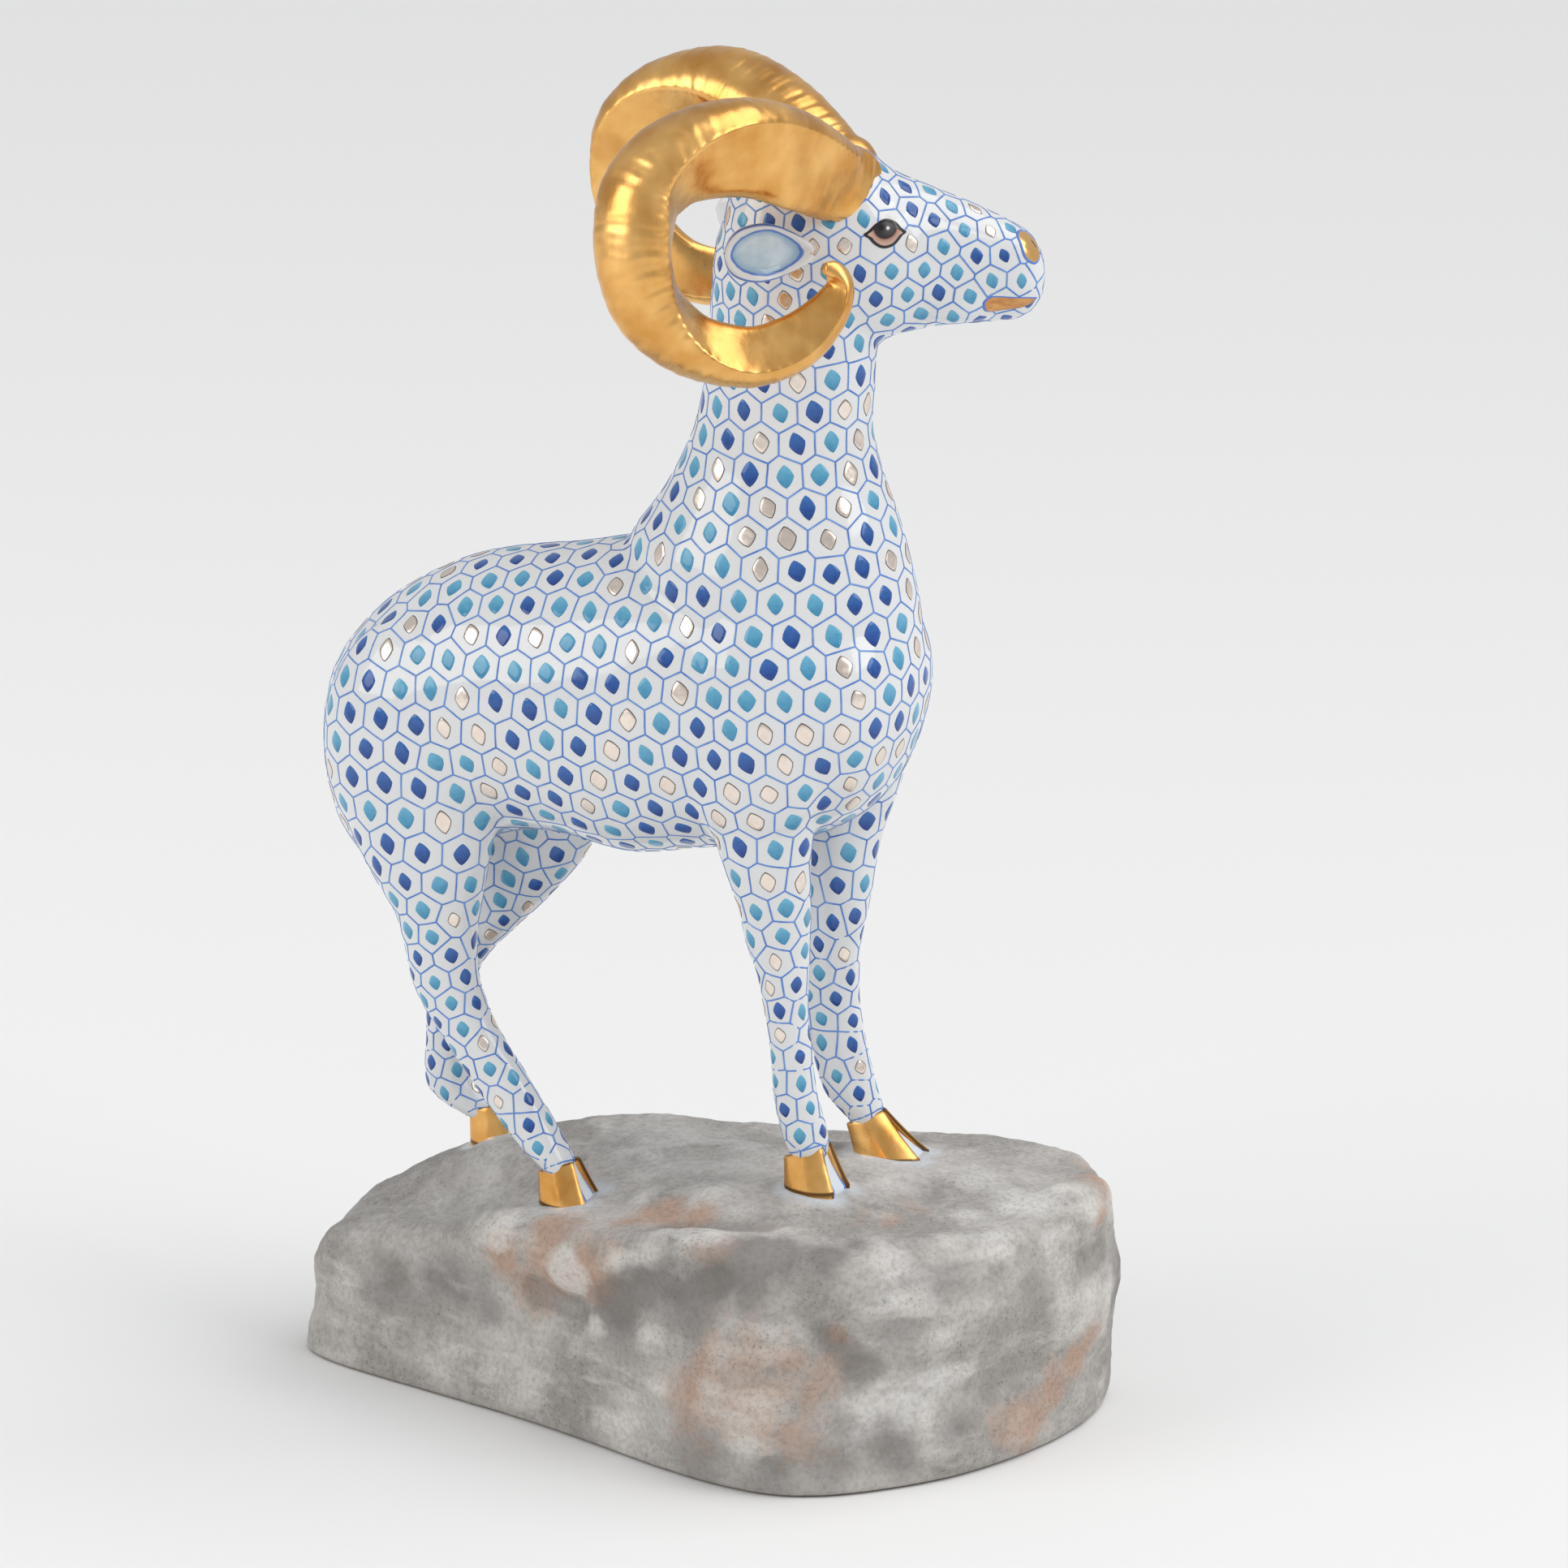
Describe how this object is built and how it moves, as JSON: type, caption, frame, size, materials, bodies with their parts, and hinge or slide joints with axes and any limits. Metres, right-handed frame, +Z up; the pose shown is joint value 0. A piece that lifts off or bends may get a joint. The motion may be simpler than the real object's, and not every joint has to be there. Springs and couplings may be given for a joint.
{
  "type": "porcelain ram figurine",
  "caption": "Standing porcelain ram with curled ribbed horns, slightly turned head and cloven hooves, cast in one piece with the weathered rock it stands on.",
  "frame": {"origin": "middle of the rock's flat underside", "axes": "+X the way the ram's body looks, +Y to its left side, +Z up"},
  "size_m": [0.1898, 0.1169, 0.3064],
  "materials": {
    "porcelain": "glossy",
    "gilding": "polished",
    "bisque_rock": "matte"
  },
  "bodies": {
    "root": {"ram_figurine": "porcelain"}
  },
  "joints": []
}
